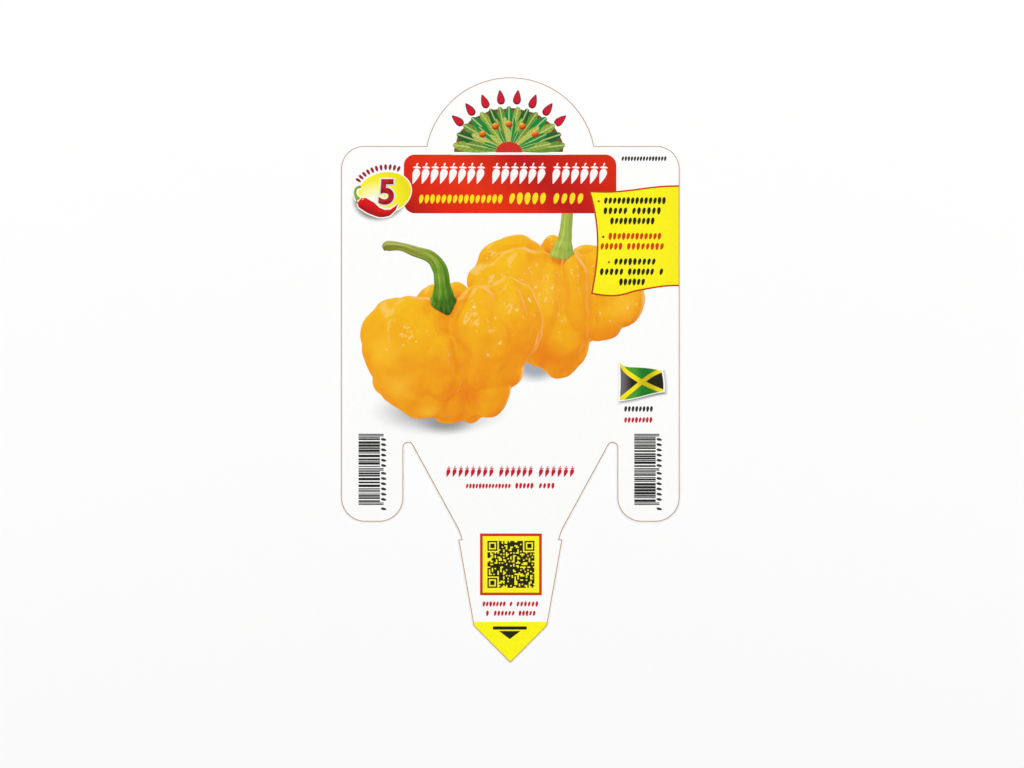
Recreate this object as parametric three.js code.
// A plant label for a seedling pot: one flat plastic sheet, cut to an outline with a domed head,
// a wide panel, two round-ended side lobes and a stake between them that ends in a point.
//
// The stake goes down into the soil inside the pot. The pot's rim slides up into the two notches
// beside it, so that the lobes hang outside the rim. A small barb on each side of the stake, where
// its edge steps out, keeps it from lifting out again.
//
// Millimetres. The sheet lies flat with its printed face up: +X to the reader's right, +Y to the
// head, +Z out of the printed face. The origin is under the middle of the sheet's bounding box.
import * as THREE from "three";

// The whole sheet
const WIDTH = 120;
const HEIGHT = 207.5;
const THICKNESS = 0.5;

// The domed head and the shoulders of the panel
const DOME_RADIUS = 30.3;
const SHOULDER_DROP = 24.3; // from the top of the dome down to the shoulders
const SHOULDER_RADIUS = 8.2;

// The side lobes
const LOBE_DROP = 157.5; // from the top of the dome down to the lobes' ends
const LOBE_INNER = 37.9; // from the middle line to a lobe's inner edge
const LOBE_RADIUS = 8.6;

// The notches between the lobes and the stake
const NOTCH_DROP = 129.5; // from the top of the dome down to the notch's round end
const NOTCH_RADIUS = 1.7;

// The stake, its barbs and its point
const STAKE_SLANT = THREE.MathUtils.degToRad(28.6); // the upper edge's lean from upright
const FLARE_RADIUS = 19; // where the upper edge swings down to the barb
const BARB_DROP = 163.7; // from the top of the dome down to the barbs
const BARB_STEP = 1.1; // how far the edge steps out
const BARB_HALF = 18.45; // half of the stake's width at the barbs
const POINT_DROP = 194.4; // from the top of the dome down to where the point begins
const POINT_HALF = 13.05; // half of the stake's width there

const ARC_STEPS = 12; // straight pieces in a half of each round stretch

const TOP = HEIGHT / 2;
const QUARTER = Math.PI / 2;

// The right half of the outline, from the top of the dome round to the tip of the stake. Each round
// stretch is an arc, and the path draws the straight edge that leads up to it.
function halfOutline() {
  const side = WIDTH / 2;
  const domeMiddle = TOP - DOME_RADIUS;
  const shoulder = TOP - SHOULDER_DROP;
  const lobeEnd = TOP - LOBE_DROP;
  const barb = TOP - BARB_DROP;
  const half = new THREE.Path();

  const domeFoot = Math.asin((shoulder - domeMiddle) / DOME_RADIUS);
  half.absarc(0, domeMiddle, DOME_RADIUS, QUARTER, domeFoot, true);
  half.absarc(side - SHOULDER_RADIUS, shoulder - SHOULDER_RADIUS, SHOULDER_RADIUS, QUARTER, 0, true);

  half.absarc(side - LOBE_RADIUS, lobeEnd + LOBE_RADIUS, LOBE_RADIUS, 0, -QUARTER, true);
  half.absarc(LOBE_INNER + LOBE_RADIUS, lobeEnd + LOBE_RADIUS, LOBE_RADIUS, -QUARTER, -2 * QUARTER, true);

  const notch = new THREE.Vector2(LOBE_INNER - NOTCH_RADIUS, TOP - NOTCH_DROP - NOTCH_RADIUS);
  half.absarc(notch.x, notch.y, NOTCH_RADIUS, 0, Math.PI - STAKE_SLANT, false);

  // The flare is round about a point outside the sheet. It meets the slanted edge smoothly and ends
  // at the barb's inner corner, and both fix where its middle is.
  const barbInner = BARB_HALF - BARB_STEP;
  const outward = new THREE.Vector2(Math.cos(STAKE_SLANT), -Math.sin(STAKE_SLANT));
  const reach = FLARE_RADIUS - NOTCH_RADIUS;
  const along = new THREE.Vector2(-Math.sin(STAKE_SLANT), -Math.cos(STAKE_SLANT));
  const start = notch.clone().addScaledVector(outward, reach);
  const toBarb = new THREE.Vector2(barbInner, barb).sub(start);
  const ahead = toBarb.dot(along);
  const aside = toBarb.dot(outward);
  const travel = ahead - Math.sqrt(FLARE_RADIUS ** 2 - aside ** 2);
  const middle = start.clone().addScaledVector(along, travel);
  const barbAngle = Math.atan2(barb - middle.y, barbInner - middle.x) + 4 * QUARTER;
  half.absarc(middle.x, middle.y, FLARE_RADIUS, Math.PI - STAKE_SLANT, barbAngle, false);

  half.lineTo(BARB_HALF, barb);
  half.lineTo(POINT_HALF, TOP - POINT_DROP);
  half.lineTo(0, TOP - HEIGHT);
  return half.getPoints(ARC_STEPS);
}

// The full outline: the right half, then its mirror image on the way back up.
function outline() {
  const right = halfOutline();
  const left = right.slice(1, -1).reverse().map((p) => new THREE.Vector2(-p.x, p.y));
  return new THREE.Shape([...right, ...left]);
}

const plastic = new THREE.MeshStandardMaterial({ color: 0xf7f7f4, roughness: 0.38, metalness: 0 });

const sheet = new THREE.Mesh(
  new THREE.ExtrudeGeometry(outline(), { depth: THICKNESS, bevelEnabled: false }),
  plastic,
);
sheet.name = "label_sheet";

const label = new THREE.Group();
label.add(sheet);

export default label;
